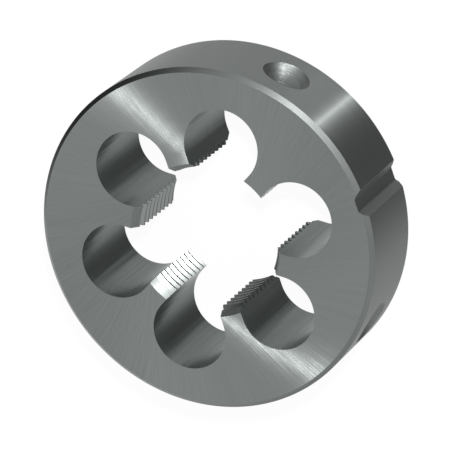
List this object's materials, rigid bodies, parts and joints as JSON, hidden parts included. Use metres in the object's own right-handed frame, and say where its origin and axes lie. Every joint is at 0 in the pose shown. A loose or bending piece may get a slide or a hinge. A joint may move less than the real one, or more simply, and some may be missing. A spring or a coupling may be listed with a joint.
{
  "type": "round threading die",
  "caption": "Round steel threading die: a thick disc with a threaded bore of separate cutting lands, round clearance holes, a rim notch and conical rim dimples.",
  "frame": {"origin": "centre of the back face, on the die's axis", "axes": "+Z along the axis from the back face to the front face, +X through the notch in the rim"},
  "size_m": [0.0549, 0.055, 0.016],
  "materials": {
    "steel": "ground and turned, bright, lightly oiled"
  },
  "bodies": {
    "root": {"threading_die": "steel"}
  },
  "joints": []
}
